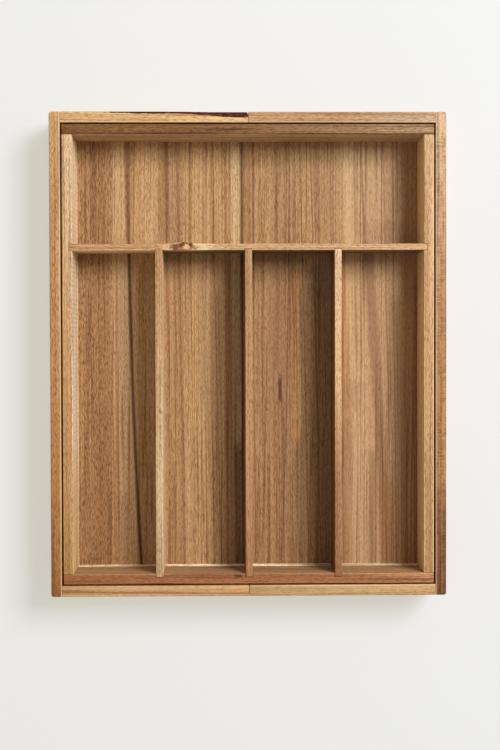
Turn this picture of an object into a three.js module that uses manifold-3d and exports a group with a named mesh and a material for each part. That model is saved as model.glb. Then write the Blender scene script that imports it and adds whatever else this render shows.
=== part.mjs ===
// Expandable cutlery tray of solid acacia: a tray with five compartments that stands between two
// sliding wings. Each wing is a three-sided frame with its own thin floor. The two wings meet in the
// middle when the tray is closed, and slide out to the left and to the right.
// Lengths are in millimetres. X runs to the right, Y to the back and Z up. The origin lies on the
// surface that the tray stands on, under the middle of the closed tray.

import * as THREE from 'three';
import { mergeVertices } from 'three/addons/utils/BufferGeometryUtils.js';
import Module from 'manifold-3d';

const wasm = await Module();
wasm.setup();

// The tray in the middle
const trayWidth = 330;
const trayDepth = 408;
const trayWallThickness = 9;
const trayFloorThickness = 5;
const trayFloorRebate = 4;
const floorGlueLineFromMiddle = -4;

// Its dividers
const crossDividerThickness = 6;
const crossDividerFromMiddle = 95.5;
const longDividerThickness = 6.5;
const longDividerCount = 3;
const wallHousingDepth = 3;
const crossDividerHousingDepth = 1.5;

// The two wings
const frameHeight = 55;
const wingWallThickness = 9.5;
const wingFloorThickness = 3.5;
const wingFloorGrooveDepth = 4;
const wingFloorLip = 2;
const wingTravel = 105;

// The runners that carry the wings
const runnerHeight = 6;
const runnerSeatDepth = 3;
const runnerEngagement = 3;
const runnerFromTrayCorner = 3;
const stopWeb = 8;

// Clearances
const runningGap = 1.5;
const floorRunningGap = 0.5;
const seamGap = 1;
const runnerClearance = 0.3;
const stopClearance = 0.5;
const fitClearance = 0.125;
const cutOverrun = 5;

// Eased edges
const boardEasing = 0.7;
const boardCornerRadius = 1;
const wingCornerRadius = 2.2;
const panelEasing = 0.25;
const panelCornerRadius = 0.4;
const easingSteps = 2;
const cornerSteps = 2;
const runnerEndSteps = 6;

// Heights
const wingFloorTop = wingFloorLip + wingFloorThickness;
const trayBottom = wingFloorTop + floorRunningGap;
const trayFloorTop = trayBottom + trayFloorThickness;
const runnerMiddle = (trayBottom + frameHeight) / 2;

// Faces of the tray, counted from the middle
const trayOuterX = trayWidth / 2;
const trayInnerX = trayOuterX - trayWallThickness;
const trayOuterY = trayDepth / 2;
const trayInnerY = trayOuterY - trayWallThickness;

// Faces of the wings, counted from the middle
const wingInnerX = trayOuterX + runningGap;
const wingOuterX = wingInnerX + wingWallThickness;
const wingInnerY = trayOuterY + runningGap;
const wingOuterY = wingInnerY + wingWallThickness;
const seamX = seamGap / 2;

// The runner and its groove, counted outwards from the middle
const grooveStopX = seamX + stopWeb;
const runnerInnerX = grooveStopX + wingTravel + stopClearance;
const runnerOuterX = trayOuterX - runnerFromTrayCorner;

// The front compartments are of equal width
const crossDividerFrontY = crossDividerFromMiddle - crossDividerThickness / 2;
const crossDividerBackY = crossDividerFromMiddle + crossDividerThickness / 2;
const longDividersWidth = longDividerCount * longDividerThickness;
const compartmentWidth = (2 * trayInnerX - longDividersWidth) / (longDividerCount + 1);
const longDividerSpacing = compartmentWidth + longDividerThickness;

function solidOf(geometry) {
  geometry.deleteAttribute('normal');
  geometry.deleteAttribute('uv');
  const merged = mergeVertices(geometry);
  const vertProperties = new Float32Array(merged.attributes.position.array);
  const triVerts = new Uint32Array(merged.index.array);
  return new wasm.Manifold(new wasm.Mesh({ numProp: 3, vertProperties, triVerts }));
}

function geometryOf(solid) {
  const { vertProperties, triVerts } = solid.getMesh();
  const geometry = new THREE.BufferGeometry();
  geometry.setAttribute('position', new THREE.BufferAttribute(vertProperties, 3));
  geometry.setIndex(new THREE.BufferAttribute(triVerts, 1));
  return geometry;
}

// A rectangle whose four corners are rounded, each with a radius of its own: left front, right front,
// right back and left back.
function roundedRectangle(low, high, radii) {
  const [leftFront, rightFront, rightBack, leftBack] = radii;
  const quarter = Math.PI / 2;
  const shape = new THREE.Shape();
  shape.absarc(low.x + leftFront, low.y + leftFront, leftFront, 2 * quarter, 3 * quarter);
  shape.absarc(high.x - rightFront, low.y + rightFront, rightFront, 3 * quarter, 4 * quarter);
  shape.absarc(high.x - rightBack, high.y - rightBack, rightBack, 0, quarter);
  shape.absarc(low.x + leftBack, high.y - leftBack, leftBack, quarter, 2 * quarter);
  shape.closePath();
  return shape;
}

// A board between two opposite corners, standing on its plan, with every edge eased.
function board(low, high, easing = boardEasing, radii = new Array(4).fill(boardCornerRadius)) {
  const geometry = new THREE.ExtrudeGeometry(roundedRectangle(low, high, radii), {
    depth: high.z - low.z - 2 * easing,
    bevelThickness: easing,
    bevelSize: easing,
    bevelOffset: -easing,
    bevelSegments: easingSteps,
    curveSegments: cornerSteps,
  });
  geometry.translate(0, 0, low.z + easing);
  return solidOf(geometry);
}

// A thin panel whose edges are only just broken.
function panel(low, high) {
  return board(low, high, panelEasing, new Array(4).fill(panelCornerRadius));
}

// The square space that a cutter clears between two opposite corners.
function cutSpace(low, high) {
  const size = high.clone().sub(low);
  const geometry = new THREE.BoxGeometry(size.x, size.y, size.z);
  const middle = low.clone().add(high).divideScalar(2);
  geometry.translate(middle.x, middle.y, middle.z);
  return solidOf(geometry);
}

// A bar with round ends that runs along X and is as deep along Y as it is told. Its height sets the
// radius of its ends. With an easing, its end faces are eased all round.
function roundEndedBar(lowX, highX, height, lowY, highY, easing = 0) {
  const radius = height / 2;
  const shape = new THREE.Shape();
  shape.absarc(lowX + radius, runnerMiddle, radius, Math.PI / 2, 3 * Math.PI / 2);
  shape.absarc(highX - radius, runnerMiddle, radius, -Math.PI / 2, Math.PI / 2);
  shape.closePath();
  const geometry = new THREE.ExtrudeGeometry(shape, {
    depth: highY - lowY - 2 * easing,
    bevelEnabled: easing > 0,
    bevelThickness: easing,
    bevelSize: easing,
    bevelOffset: -easing,
    bevelSegments: easingSteps,
    curveSegments: runnerEndSteps,
  });
  geometry.rotateX(Math.PI / 2);
  geometry.translate(0, highY - easing, 0);
  return solidOf(geometry);
}

function corner(x, y, z) {
  return new THREE.Vector3(x, y, z);
}

// The lower and the higher coordinate of a stretch between two distances from the middle, on the side
// that is asked for: -1 is left or front, and 1 is right or back.
function span(side, near, far) {
  return side > 0 ? [near, far] : [-far, -near];
}

function addPiece(parent, name, solid, colour, roughness) {
  const geometry = geometryOf(solid);
  geometry.computeBoundingBox();
  const middle = geometry.boundingBox.getCenter(new THREE.Vector3());
  geometry.translate(-middle.x, -middle.y, -middle.z);
  geometry.computeVertexNormals();
  const material = new THREE.MeshStandardMaterial({ color: colour, roughness, metalness: 0 });
  const mesh = new THREE.Mesh(geometry, material);
  mesh.name = name;
  mesh.position.copy(middle);
  parent.add(mesh);
}

// The space that the tray's floor fills, up into the rebates along the foot of the four walls
function trayFloorSpace() {
  const reachX = trayInnerX + trayFloorRebate + fitClearance;
  const reachY = trayInnerY + trayFloorRebate + fitClearance;
  const low = corner(-reachX, -reachY, trayBottom - cutOverrun);
  const high = corner(reachX, reachY, trayFloorTop + fitClearance);
  return cutSpace(low, high);
}

// The housing that holds the end of the cross divider in a side wall
function crossDividerHousing(side) {
  const [lowX, highX] = span(side, trayInnerX - cutOverrun, trayInnerX + wallHousingDepth + fitClearance);
  const low = corner(lowX, crossDividerFrontY - fitClearance, trayFloorTop);
  const high = corner(highX, crossDividerBackY + fitClearance, frameHeight + cutOverrun);
  return cutSpace(low, high);
}

function longDividerMiddle(index) {
  return (index - (longDividerCount - 1) / 2) * longDividerSpacing;
}

// The housing that holds one end of a long divider, between two places along Y
function longDividerHousing(index, lowY, highY) {
  const reach = longDividerThickness / 2 + fitClearance;
  const low = corner(longDividerMiddle(index) - reach, lowY, trayFloorTop);
  const high = corner(longDividerMiddle(index) + reach, highY, frameHeight + cutOverrun);
  return cutSpace(low, high);
}

// The round-ended mortise in the outer face of the tray's back or front wall that holds a runner
function runnerSeat(sideX, sideY) {
  const [lowX, highX] = span(sideX, runnerInnerX - fitClearance, runnerOuterX + fitClearance);
  const [lowY, highY] = span(sideY, trayOuterY - runnerSeatDepth - fitClearance, trayOuterY + cutOverrun);
  return roundEndedBar(lowX, highX, runnerHeight + 2 * fitClearance, lowY, highY);
}

function addTrayEndWall(tray, name, sideY, colour) {
  const [lowY, highY] = span(sideY, trayInnerY, trayOuterY);
  let wall = board(corner(-trayOuterX, lowY, trayBottom), corner(trayOuterX, highY, frameHeight));
  wall = wall.subtract(trayFloorSpace());
  for (const sideX of [-1, 1]) {
    wall = wall.subtract(runnerSeat(sideX, sideY));
  }
  if (sideY < 0) {
    const housingFrontY = highY - wallHousingDepth - fitClearance;
    for (let index = 0; index < longDividerCount; index += 1) {
      wall = wall.subtract(longDividerHousing(index, housingFrontY, highY + cutOverrun));
    }
  }
  addPiece(tray, name, wall, colour, 0.55);
}

function addTraySideWall(tray, name, side, colour) {
  const [lowX, highX] = span(side, trayInnerX, trayOuterX);
  let wall = board(corner(lowX, -trayInnerY, trayBottom), corner(highX, trayInnerY, frameHeight));
  wall = wall.subtract(trayFloorSpace());
  wall = wall.subtract(crossDividerHousing(side));
  addPiece(tray, name, wall, colour, 0.55);
}

// The floor is glued up from two boards, edge to edge.
function addTrayFloor(tray) {
  const reachX = trayInnerX + trayFloorRebate;
  const reachY = trayInnerY + trayFloorRebate;
  const leftHigh = corner(floorGlueLineFromMiddle, reachY, trayFloorTop);
  const rightLow = corner(floorGlueLineFromMiddle, -reachY, trayBottom);
  const leftBoard = panel(corner(-reachX, -reachY, trayBottom), leftHigh);
  const rightBoard = panel(rightLow, corner(reachX, reachY, trayFloorTop));
  addPiece(tray, 'tray_floor_left_board', leftBoard, 0xa67b52, 0.6);
  addPiece(tray, 'tray_floor_right_board', rightBoard, 0xa87a50, 0.6);
}

function addCrossDivider(tray) {
  const reachX = trayInnerX + wallHousingDepth;
  const low = corner(-reachX, crossDividerFrontY, trayFloorTop);
  const high = corner(reachX, crossDividerBackY, frameHeight);
  let divider = board(low, high);
  const housingBackY = crossDividerFrontY + crossDividerHousingDepth + fitClearance;
  for (let index = 0; index < longDividerCount; index += 1) {
    divider = divider.subtract(longDividerHousing(index, crossDividerFrontY - cutOverrun, housingBackY));
  }
  addPiece(tray, 'cross_divider', divider, 0xc69468, 0.55);
}

function addLongDivider(tray, name, index, colour) {
  const lowY = -trayInnerY - wallHousingDepth;
  const highY = crossDividerFrontY + crossDividerHousingDepth;
  const lowX = longDividerMiddle(index) - longDividerThickness / 2;
  const highX = lowX + longDividerThickness;
  const divider = board(corner(lowX, lowY, trayFloorTop), corner(highX, highY, frameHeight));
  addPiece(tray, name, divider, colour, 0.55);
}

// A runner stands out of the tray's wall, across the running gap and into the wing's groove.
function addRunner(tray, name, sideX, sideY) {
  const [lowX, highX] = span(sideX, runnerInnerX, runnerOuterX);
  const innerFace = trayOuterY - runnerSeatDepth;
  const outerFace = trayOuterY + runningGap + runnerEngagement;
  const [lowY, highY] = span(sideY, innerFace, outerFace);
  const runner = roundEndedBar(lowX, highX, runnerHeight, lowY, highY, boardEasing);
  addPiece(tray, name, runner, 0xb98a5c, 0.5);
}

function buildTray() {
  const tray = new THREE.Group();
  addTrayEndWall(tray, 'tray_back_wall', 1, 0xa9794f);
  addTrayEndWall(tray, 'tray_front_wall', -1, 0xa56b46);
  addTraySideWall(tray, 'tray_left_wall', -1, 0xcfa277);
  addTraySideWall(tray, 'tray_right_wall', 1, 0xcf9f70);
  addTrayFloor(tray);
  addCrossDivider(tray);
  addLongDivider(tray, 'long_divider_left', 0, 0xc99b73);
  addLongDivider(tray, 'long_divider_middle', 1, 0xbf8a65);
  addLongDivider(tray, 'long_divider_right', 2, 0xc2875c);
  addRunner(tray, 'runner_back_left', -1, 1);
  addRunner(tray, 'runner_back_right', 1, 1);
  addRunner(tray, 'runner_front_left', -1, -1);
  addRunner(tray, 'runner_front_right', 1, -1);
  return tray;
}

// The groove that takes the edge of a wing's floor, on three sides of the wing
function wingFloorSpace(side) {
  const reachX = wingInnerX + wingFloorGrooveDepth + fitClearance;
  const reachY = wingInnerY + wingFloorGrooveDepth + fitClearance;
  const [lowX, highX] = span(side, seamX - cutOverrun, reachX);
  const low = corner(lowX, -reachY, wingFloorLip - fitClearance);
  const high = corner(highX, reachY, wingFloorTop + fitClearance);
  return cutSpace(low, high);
}

// The long groove in a rail's inner face that slides on the runner. It runs in from the wing's side
// wall and ends short of the seam, in a round end that meets the runner when the wing is full out.
function runnerGroove(sideX, sideY) {
  const [lowX, highX] = span(sideX, grooveStopX, wingInnerX + cutOverrun);
  const grooveBottom = wingInnerY + runnerEngagement + runnerClearance;
  const [lowY, highY] = span(sideY, wingInnerY - cutOverrun, grooveBottom);
  return roundEndedBar(lowX, highX, runnerHeight + 2 * runnerClearance, lowY, highY);
}

function addRail(wing, name, sideX, sideY, colour) {
  const [lowX, highX] = span(sideX, seamX, wingInnerX);
  const [lowY, highY] = span(sideY, wingInnerY, wingOuterY);
  let rail = board(corner(lowX, lowY, 0), corner(highX, highY, frameHeight));
  rail = rail.subtract(wingFloorSpace(sideX));
  rail = rail.subtract(runnerGroove(sideX, sideY));
  addPiece(wing, name, rail, colour, 0.55);
}

function addWingSideWall(wing, name, side, colour) {
  const [lowX, highX] = span(side, wingInnerX, wingOuterX);
  const inner = boardCornerRadius;
  const outer = wingCornerRadius;
  const radii = side < 0 ? [outer, inner, inner, outer] : [inner, outer, outer, inner];
  let wall = board(corner(lowX, -wingOuterY, 0), corner(highX, wingOuterY, frameHeight), boardEasing, radii);
  wall = wall.subtract(wingFloorSpace(side));
  addPiece(wing, name, wall, colour, 0.55);
}

function addWingFloor(wing, name, side) {
  const [lowX, highX] = span(side, seamX, wingInnerX + wingFloorGrooveDepth);
  const reachY = wingInnerY + wingFloorGrooveDepth;
  const floor = panel(corner(lowX, -reachY, wingFloorLip), corner(highX, reachY, wingFloorTop));
  addPiece(wing, name, floor, 0xad8157, 0.6);
}

function buildWing(prefix, side, wallColour, backColour, frontColour) {
  const wing = new THREE.Group();
  addWingSideWall(wing, `${prefix}_side_wall`, side, wallColour);
  addRail(wing, `${prefix}_back_rail`, side, 1, backColour);
  addRail(wing, `${prefix}_front_rail`, side, -1, frontColour);
  addWingFloor(wing, `${prefix}_floor`, side);
  return wing;
}

const cutleryTray = new THREE.Group();
cutleryTray.add(buildTray());
cutleryTray.add(buildWing('left_wing', -1, 0xbd8450, 0xc8995f, 0xc39461));
cutleryTray.add(buildWing('right_wing', 1, 0xbf9068, 0xc8a078, 0xcda578));

export default cutleryTray;
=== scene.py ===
# %% [markdown]
# # An expandable cutlery tray in acacia wood
# The tray is a shallow box with four long compartments and one across the back. It sits inside two
# wings, each a side wall with two rails and a thin floor, which slide out on runners to fill a drawer.
# A CAD model already fixes every size, so this lesson loads it as a frame and works on the looks:
# boards with eased edges and true joints, and a procedural wood for each board.

# %% Load the frame
import math

import bmesh
import bpy
from mathutils import Matrix, Vector


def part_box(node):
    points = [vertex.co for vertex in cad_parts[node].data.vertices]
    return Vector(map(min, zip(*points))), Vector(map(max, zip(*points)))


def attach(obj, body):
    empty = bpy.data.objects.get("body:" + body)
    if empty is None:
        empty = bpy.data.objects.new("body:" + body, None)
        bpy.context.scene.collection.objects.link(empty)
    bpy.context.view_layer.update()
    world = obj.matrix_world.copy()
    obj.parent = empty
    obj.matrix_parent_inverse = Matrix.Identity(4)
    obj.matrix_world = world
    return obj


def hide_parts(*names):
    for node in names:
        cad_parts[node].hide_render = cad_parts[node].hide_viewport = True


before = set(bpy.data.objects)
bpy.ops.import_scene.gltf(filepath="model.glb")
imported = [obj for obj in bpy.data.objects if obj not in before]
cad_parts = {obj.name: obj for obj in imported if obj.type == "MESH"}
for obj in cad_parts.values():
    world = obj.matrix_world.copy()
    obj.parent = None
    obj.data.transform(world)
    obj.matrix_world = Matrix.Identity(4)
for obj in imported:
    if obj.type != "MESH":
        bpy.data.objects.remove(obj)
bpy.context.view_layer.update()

MM = 0.001

# %% [markdown]
# ## The camera
# The tray was photographed from straight above, from about 1.3 m, a little left of its middle. A long
# lens at that height shows a sliver of the inner face of each wall. It could be an orthographic camera,
# but then the inner faces would vanish, so a perspective camera with a real lens is used.

# %% Make the camera
CAMERA_PLACE = Vector((-23.87, 10.39, 1326.41)) * MM
CAMERA_TURN = (math.radians(-1.277), math.radians(-1.1290), math.radians(-0.1413))
CAMERA_LENS = 68.76
SENSOR_WIDTH = 36
FARTHEST_SEEN = 20

camera_data = bpy.data.cameras.new("overhead_camera")
camera_data.lens = CAMERA_LENS
camera_data.sensor_width = SENSOR_WIDTH
camera_data.clip_end = FARTHEST_SEEN
camera = bpy.data.objects.new("overhead_camera", camera_data)
camera.location = CAMERA_PLACE
camera.rotation_euler = CAMERA_TURN
bpy.context.scene.collection.objects.link(camera)
bpy.context.scene.camera = camera
bpy.context.scene.view_settings.view_transform = "Standard"
print("camera at", [round(value, 3) for value in camera.location])

# %% [markdown]
# ## Colours
# A screen colour is a coded number, and a shader works on light. One helper turns the numbers that a
# colour picker shows, 0 to 255, into linear light, so that each tone is written as it should look.

# %% A tone from screen numbers
def tone(red, green, blue):
    """A colour picker's red, green and blue as linear light, by the sRGB curve."""
    shares = [level / 255 for level in (red, green, blue)]
    light = [s / 12.92 if s <= 0.04045 else ((s + 0.055) / 1.055) ** 2.4 for s in shares]
    return (*light, 1)


print("mid grey", [round(level, 3) for level in tone(128, 128, 128)])

# %% [markdown]
# ## Shader maths as Python
# A procedural wood needs dozens of Math nodes. A small class wraps one socket, and each Python operator
# on it adds the Math node of that name. The same class adds any other node through one method, so the
# materials below read like formulas.

# %% The class for node sockets
class Signal:
    """One output socket in a material. Operators on it add Math nodes."""

    def __init__(self, tree, socket=None):
        self.tree = tree
        self.socket = socket

    def node(self, kind, settings=None, sockets=None, output=0):
        """Adds a node, applies its settings, then fills its sockets with values or links."""
        made = self.tree.nodes.new(kind)
        for key, setting in (settings or {}).items():
            if key == "stops":
                fill_ramp(made.color_ramp, setting)
            else:
                setattr(made, key, setting)
        for key, value in (sockets or {}).items():
            if isinstance(value, Signal):
                self.tree.links.new(value.socket, made.inputs[key])
            else:
                made.inputs[key].default_value = value
        return Signal(self.tree, made.outputs[output] if made.outputs else None)

    def beside(self, output):
        """Another output of the node that this one comes from."""
        return Signal(self.tree, self.socket.node.outputs[output])

    def maths(self, operation, *values):
        return self.node("ShaderNodeMath", {"operation": operation}, dict(enumerate(values)))

    def __add__(self, other):
        return self.maths("ADD", self, other)

    def __radd__(self, other):
        return self.maths("ADD", other, self)

    def __sub__(self, other):
        return self.maths("SUBTRACT", self, other)

    def __rsub__(self, other):
        return self.maths("SUBTRACT", other, self)

    def __mul__(self, other):
        return self.maths("MULTIPLY", self, other)

    def __rmul__(self, other):
        return self.maths("MULTIPLY", other, self)

    def __truediv__(self, other):
        return self.maths("DIVIDE", self, other)

    def __abs__(self):
        return self.maths("ABSOLUTE", self)

    def wave(self):
        return self.maths("SINE", self)

    def most(self, other):
        return self.maths("MAXIMUM", self, other)

    def rise(self, low, high):
        """0 below low, 1 above high, and a smooth rise between."""
        sockets = {"Value": self, "From Min": low, "From Max": high}
        return self.node("ShaderNodeMapRange", {"interpolation_type": "SMOOTHSTEP"}, sockets)

    def fall(self, low, high):
        """1 below low, 0 above high, and a smooth fall between."""
        return 1 - self.rise(low, high)

    def blend(self, other, share, how="MIX"):
        """This colour turned towards another one by a share from 0 to 1."""
        settings = {"data_type": "RGBA", "blend_type": how, "clamp_factor": True}
        return self.node("ShaderNodeMix", settings, {0: share, 6: self, 7: other}, 2)

    def darken(self, other, share):
        """This colour multiplied by another one, by a share from 0 to 1."""
        return self.blend(other, share, "MULTIPLY")


def fill_ramp(ramp, stops):
    """Sets a colour ramp's stops, given as (place from 0 to 1, colour)."""
    while len(ramp.elements) > 1:
        ramp.elements.remove(ramp.elements[-1])
    ramp.elements[0].position = stops[0][0]
    ramp.elements[0].color = stops[0][1]
    for place, colour in stops[1:]:
        ramp.elements.new(place).color = colour


print("operators", [name for name in vars(Signal) if name.startswith("__")])

# %% [markdown]
# ## Acacia wood
# Acacia is cut from small trees, so its boards run from cream sapwood to brown heartwood, with thin dark
# growth lines, short open pores like pencil dashes, and the odd knot. A texture image would repeat and
# stretch at the ends. Here the pattern fills space: noise that is stretched along the grain, so a board
# shows long streaks on its faces and specks on its end grain, as real wood does.

# %% The grain's own space
MM_PER_METRE = 1000
SEED_ACROSS, SEED_ALONG = 7.31, 3.17
SHIFT_UP = 1.7
LONGEST_FADE = 18


class Grain:
    """Coordinates of one board in millimetres, with the noise that wood is built from."""

    def __init__(self, tree, along, seed, wander):
        self.root = Signal(tree)
        place = self.root.node("ShaderNodeTexCoord", output="Object")
        parts = self.root.node("ShaderNodeSeparateXYZ", sockets={"Vector": place})
        self.x, self.y, self.z = (parts.beside(axis) * MM_PER_METRE for axis in "XYZ")
        self.run = self.x if along == "X" else self.y
        self.side = self.y if along == "X" else self.x
        self.seed = seed
        self.across = self.side
        self.up = self.z
        drift = self.noise(width=45, length=160, detail=1) - 0.5
        sway = self.noise(width=12, length=90, detail=1, shift=3) - 0.5
        self.across = self.side + drift * (2 * wander) + sway * (0.5 * wander)
        self.up = self.z + drift * wander

    def vector(self, width, length, shift=0):
        """The place that a pattern is read at, with one step for each width and length."""
        sockets = {
            "X": self.across / width + self.seed * SEED_ACROSS + shift,
            "Y": self.up / width + shift * SHIFT_UP,
            "Z": self.run / length + self.seed * SEED_ALONG,
        }
        return self.root.node("ShaderNodeCombineXYZ", sockets=sockets)

    def noise(self, width, length, detail=2, rough=0.5, shift=0):
        """Smooth noise with features of one width across the grain and one length along it."""
        sockets = {"Vector": self.vector(width, length, shift), "Scale": 1.0}
        sockets.update({"Detail": detail, "Roughness": rough})
        return self.root.node("ShaderNodeTexNoise", sockets=sockets)

    def dashes(self, width, length, fill, shift=0):
        """1 on short strokes that lie along the grain, and 0 between them."""
        sockets = {"Vector": self.vector(width, length, shift), "Scale": 1.0}
        return self.root.node("ShaderNodeTexVoronoi", sockets=sockets).fall(0.4 * fill, fill)

    def curve(self, place, slant, bend):
        """Distance across the grain from a line that slants and bends along the board."""
        return self.across - place + self.run * slant - self.run * self.run * bend

    def streak(self, place, half_width, slant, bend, start, end):
        """1 on such a line, fading to 0 on both sides of it and towards its two ends."""
        mask = abs(self.curve(place, slant, bend)).fall(0.3 * half_width, half_width)
        if start is not None:
            fade = min(LONGEST_FADE, (end - start) / 3)
            mask = mask * self.run.rise(start, start + fade) * self.run.fall(end - fade, end)
        return mask


print("a long streak fades over", LONGEST_FADE, "mm")

# %% [markdown]
# ## The wood, layer by layer
# Oiled wood shows many things at once: the plank's tones, pale sapwood, dark lines, fibres, pores and
# the marks of tools. One big noise could mix them all, but then no line could be put in its place. Here
# each layer is a function that takes the colour so far and gives the next one, as a painter glazes.
# Growth lines, fibres, pores and tool marks multiply by a pale brown, so that the tone below shows
# through. Knots, bark and pale top edges, part rubbed wood and part painted highlight, lie on top and
# cover it.

# %% The colours of the layers
GROWTH = tone(206, 182, 146)
LINE = tone(160, 126, 80)
STROKE = tone(164, 132, 92)
PORE = tone(140, 110, 74)
UMBER = tone(112, 76, 46)
PALE = tone(236, 206, 160)
CREAM = tone(210, 176, 132)
print("sapwood", [round(level, 3) for level in CREAM])

# %% Tones along a board, across it and on single faces
def lay_tones(grain, tones, across, lean):
    """Blends from tone to tone along the board, or across it with a lean."""
    places = grain.across + grain.run * lean if across else grain.run
    start, end = tones[0][0], tones[-1][0]
    stops = [((place - start) / (end - start), colour) for place, colour in tones]
    ramp = {"Fac": (places - start) / (end - start)}
    return grain.root.node("ShaderNodeValToRGB", {"stops": stops}, ramp)


def skin(axis, none, full, strength, paint, first=None, fade=None):
    """A tone on one face, for its own colour, and on some faces for painted shade: none of it at one
    place on an axis, and all of it at another.

    first is where along the board it starts to come in, and fade the length that this takes."""
    return (axis, none, full, strength, paint, first, fade)


def paint_skins(grain, colour, skins):
    """Paints the faces' tones, own colour and painted shade, from a first place along the board on where
    one is given.
    """
    for axis, none, full, strength, paint, first, fade in skins:
        place = getattr(grain, axis)
        layer = place.rise(none, full) if full > none else place.fall(full, none)
        if fade:
            layer = layer * grain.run.rise(first, first + fade)
        colour = colour.blend(paint, layer * strength)
    return colour


print("a skin is", skin("x", 0, 1, 0.5, PALE)[:4])

# %% Sapwood and streaks
SAPWOOD_START = (-1.5, 1.0)
SAPWOOD_END = (-1.2, 0)


def paint_sapwood(grain, colour, edge, place, slant, bend, strength, gain):
    """A cream band from an edge in the grain to a curved line. It gains strength along the board."""
    from_edge = (grain.across - edge).rise(*SAPWOOD_START)
    to_line = grain.curve(place, slant, bend).fall(*SAPWOOD_END)
    return colour.blend(CREAM, from_edge * to_line * (grain.run * gain + strength))


def streak(place, half_width, slant=0.0, bend=0.0, strength=0.5, paint=UMBER, first=None, last=None):
    """One line of a board's figure, with the places of its ends where it stops short."""
    return (place, half_width, slant, bend, strength, paint, first, last)


def paint_streaks(grain, colour, streaks):
    """Paints the lines one after another, so a later one lies over an earlier one."""
    for place, half_width, slant, bend, strength, paint, first, last in streaks:
        line = grain.streak(place, half_width, slant, bend, first, last)
        colour = colour.blend(paint, line * strength)
    return colour


print("a streak is", streak(0, 1.5)[:5])

# %% Growth bands and growth lines
BROAD_BANDS = (0.35, 0.7)
LINE_PATCHES = (0.36, 0.62)
LINE_WIDTH = (0.008, 0.05)
THIN_LINES = 0.55


def paint_growth(grain, colour, bands, lines):
    """Darkens broad bands, the dark lines that end them, and thinner lines between."""
    broad = grain.noise(width=5, length=240, detail=2, rough=0.6).rise(*BROAD_BANDS)
    colour = colour.darken(GROWTH, broad * bands)
    rings = grain.noise(width=4.5, length=600, detail=2, rough=0.55, shift=5)
    strength = grain.noise(width=4, length=200, detail=1, shift=9).rise(*LINE_PATCHES) * lines
    colour = colour.darken(LINE, abs(rings - 0.5).fall(*LINE_WIDTH) * strength)
    thin = grain.noise(width=0.9, length=170, detail=1, rough=0.5, shift=13).rise(0.5, 0.7)
    return colour.darken(LINE, thin * (THIN_LINES * lines))


print("thin lines have", THIN_LINES, "of a growth line's strength")

# %% Fibres and pores
ZONE_EDGE = 3
ZONE_SHARE = 0.7


def paint_fibres(grain, colour, strokes, pores, dense):
    """Darkens fine fibres and short open pores. It gives the colour, the fibres and the pores."""
    hair = grain.noise(width=0.5, length=4.6, detail=1, rough=0.5, shift=11)
    brushed = hair.rise(0.45, 0.65)
    patches = grain.noise(width=8, length=160, detail=1, shift=8).rise(0.38, 0.6)
    zone = patches * ZONE_SHARE + (1 - ZONE_SHARE)
    if dense:
        first, last, gain = dense
        inside = grain.across.rise(first - ZONE_EDGE, first) * grain.across.fall(last, last + ZONE_EDGE)
        busy = inside * gain + 1
        brushed = brushed * busy
        zone = zone * busy
    colour = colour.darken(STROKE, brushed * strokes)
    short = grain.dashes(width=0.7, length=5.5, fill=0.34, shift=2)
    long = grain.dashes(width=1.0, length=9.5, fill=0.26, shift=6)
    pore = short.most(long)
    return colour.darken(PORE, pore * zone * pores), hair, pore


print("a dense or open zone fades over", ZONE_EDGE, "mm")

# %% The marks of tools and use, and painted edge highlights
CHATTER_LEVEL = (15, 53)
RUNG_DRIFT = 2.5
RUNG_SHAPE = (0.1, 0.95)
FACE_EDGE = 0.2
RIM_WIDTH = (0.7, 1.1)
RIM_LEVEL = (53.9, 54.5)
RIM_STRENGTH = 0.5


def mark_chatter(grain, colour, chatter):
    """Short ticks across the grain, as a saw leaves them, which fade below the top edge."""
    ticks = grain.noise(width=9, length=1.6, detail=1, shift=17).rise(0.34, 0.66)
    patches = grain.noise(width=4, length=25, detail=1, shift=19).rise(0.35, 0.6)
    return colour.darken(STROKE, ticks * (patches * grain.z.rise(*CHATTER_LEVEL)) * chatter)


def mark_rungs(grain, colour, first, last, period, strength):
    """Rungs across one face in patches, as a planer's knives leave them."""
    drift = grain.noise(width=20, length=60, shift=25) * RUNG_DRIFT
    turns = grain.run * (2 * math.pi / period) + drift
    face = grain.side.rise(first - FACE_EDGE, first) * grain.side.fall(last, last + FACE_EDGE)
    face = face * grain.noise(width=14, length=36, detail=1, shift=29).rise(0.25, 0.6)
    return colour.darken(STROKE, turns.wave().rise(*RUNG_SHAPE) * face * strength)


def pale_arrises(grain, colour, worn_and_highlit):
    """Pales top edges given as (axis, place, direction into the board): rubbed wood and a painted
    highlight.
    """
    for axis, edge, inward in worn_and_highlit:
        from_edge = (getattr(grain, axis) - edge) * inward
        rim = from_edge.fall(*RIM_WIDTH) * grain.z.rise(*RIM_LEVEL)
        colour = colour.blend(PALE, rim * RIM_STRENGTH)
    return colour


print("a worn rim is", RIM_WIDTH[1], "mm wide")

# %% A knot in the cross divider
TOP = 55
KNOT_DEPTH = 11
KNOT_RIM = tone(236, 200, 150)
KNOT_BODY = tone(152, 92, 54)
KNOT_LOBE = tone(106, 58, 28)
KNOT_ARC = tone(80, 40, 16)
KNOT_HEART = tone(228, 180, 124)
LOBE_PLACE, LOBE_REACH = -0.6, 0.42
HEART_PLACE, HEART_REACH = 0.16, 0.36


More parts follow.
